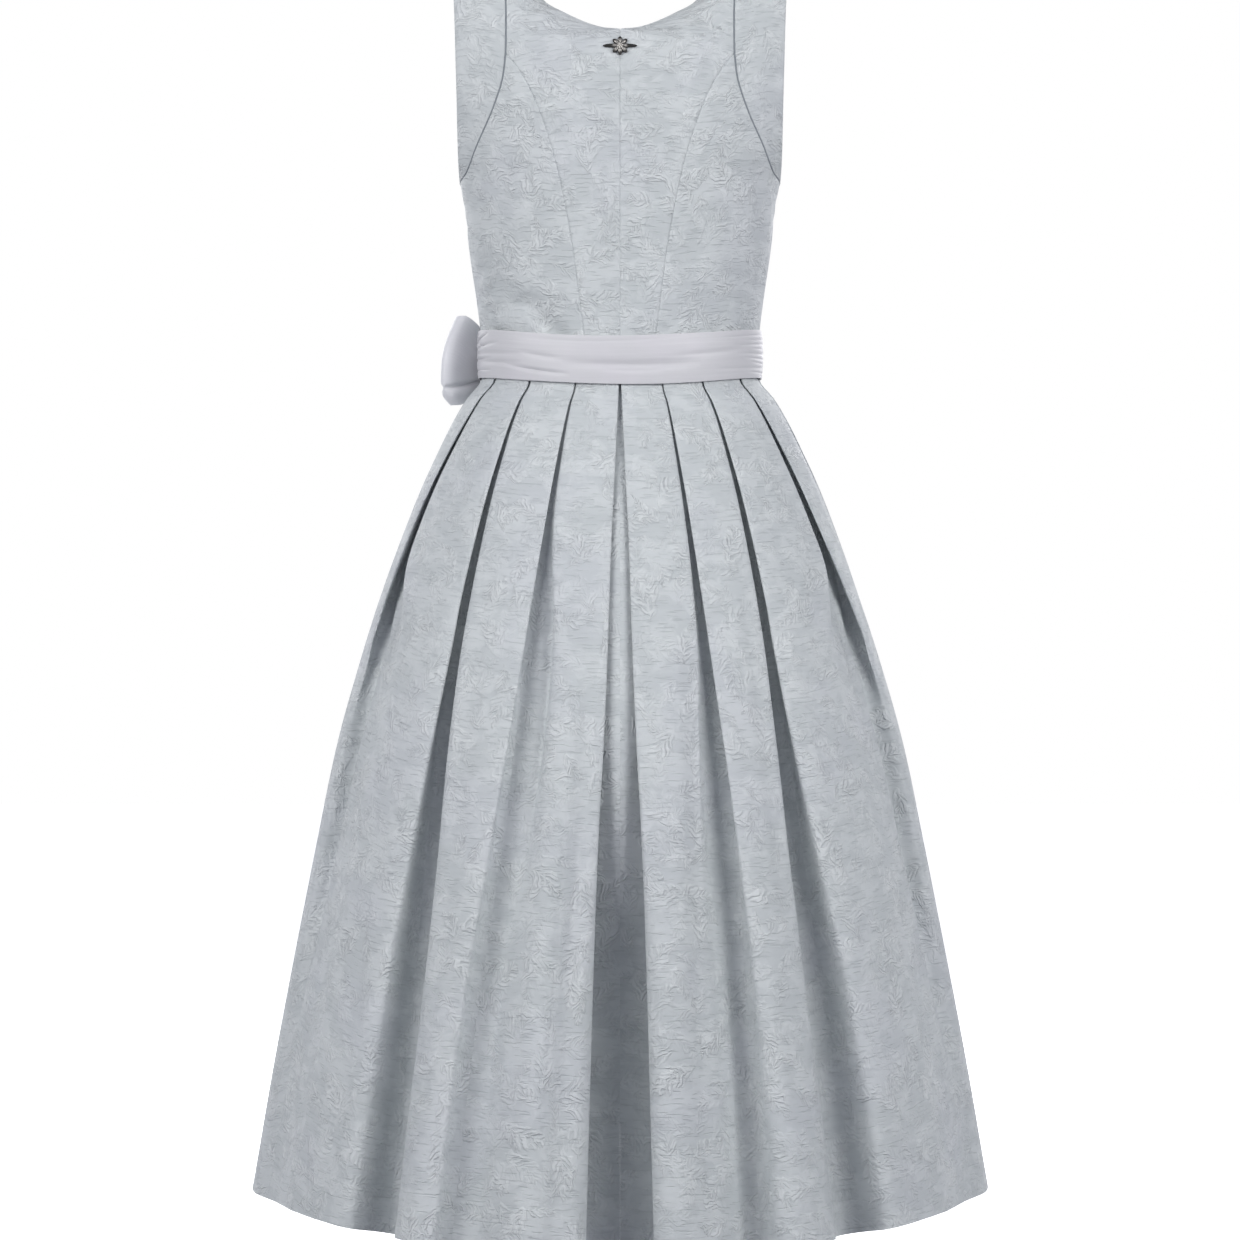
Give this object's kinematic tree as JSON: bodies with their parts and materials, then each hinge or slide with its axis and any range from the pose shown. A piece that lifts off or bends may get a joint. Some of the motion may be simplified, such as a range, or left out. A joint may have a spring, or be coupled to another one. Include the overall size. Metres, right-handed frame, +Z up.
{
  "type": "dirndl",
  "caption": "Sleeveless dirndl of pale jacquard with a pleated skirt, piped armholes, shoulder caps and an apron tied in a bow, worn form and hollow.",
  "frame": {"origin": "midway between the tops of the shoulders, where the wearer carries the dress", "axes": "+Z up, front of the dress towards -Y, wearer's left at +X"},
  "size_m": [0.6892, 0.6111, 1.1845],
  "materials": {
    "jacquard": "pale grey-blue tone-on-tone jacquard, low sheen",
    "satin": "pale lilac-white satin, soft sheen",
    "silver": "antique silver, dark in the hollows"
  },
  "bodies": {
    "root": {"back_centre_left": "jacquard", "back_centre_right": "jacquard", "back_side_left": "jacquard", "back_side_right": "jacquard", "front_centre_left": "jacquard", "front_centre_right": "jacquard", "front_side_left": "jacquard", "front_side_right": "jacquard", "shoulder_cap_left": "jacquard", "shoulder_cap_right": "jacquard", "skirt_back_left": "jacquard", "skirt_back_right": "jacquard", "skirt_front_left": "jacquard", "skirt_front_right": "jacquard", "armhole_piping_left": "jacquard", "armhole_piping_right": "jacquard", "waist_tie": "satin", "apron_band": "satin", "apron_panel": "satin", "bow_knot": "satin", "bow_loop_back": "satin", "bow_loop_front": "satin", "bow_end_front": "satin", "bow_end_side": "satin", "neck_ornament": "silver"}
  },
  "joints": []
}
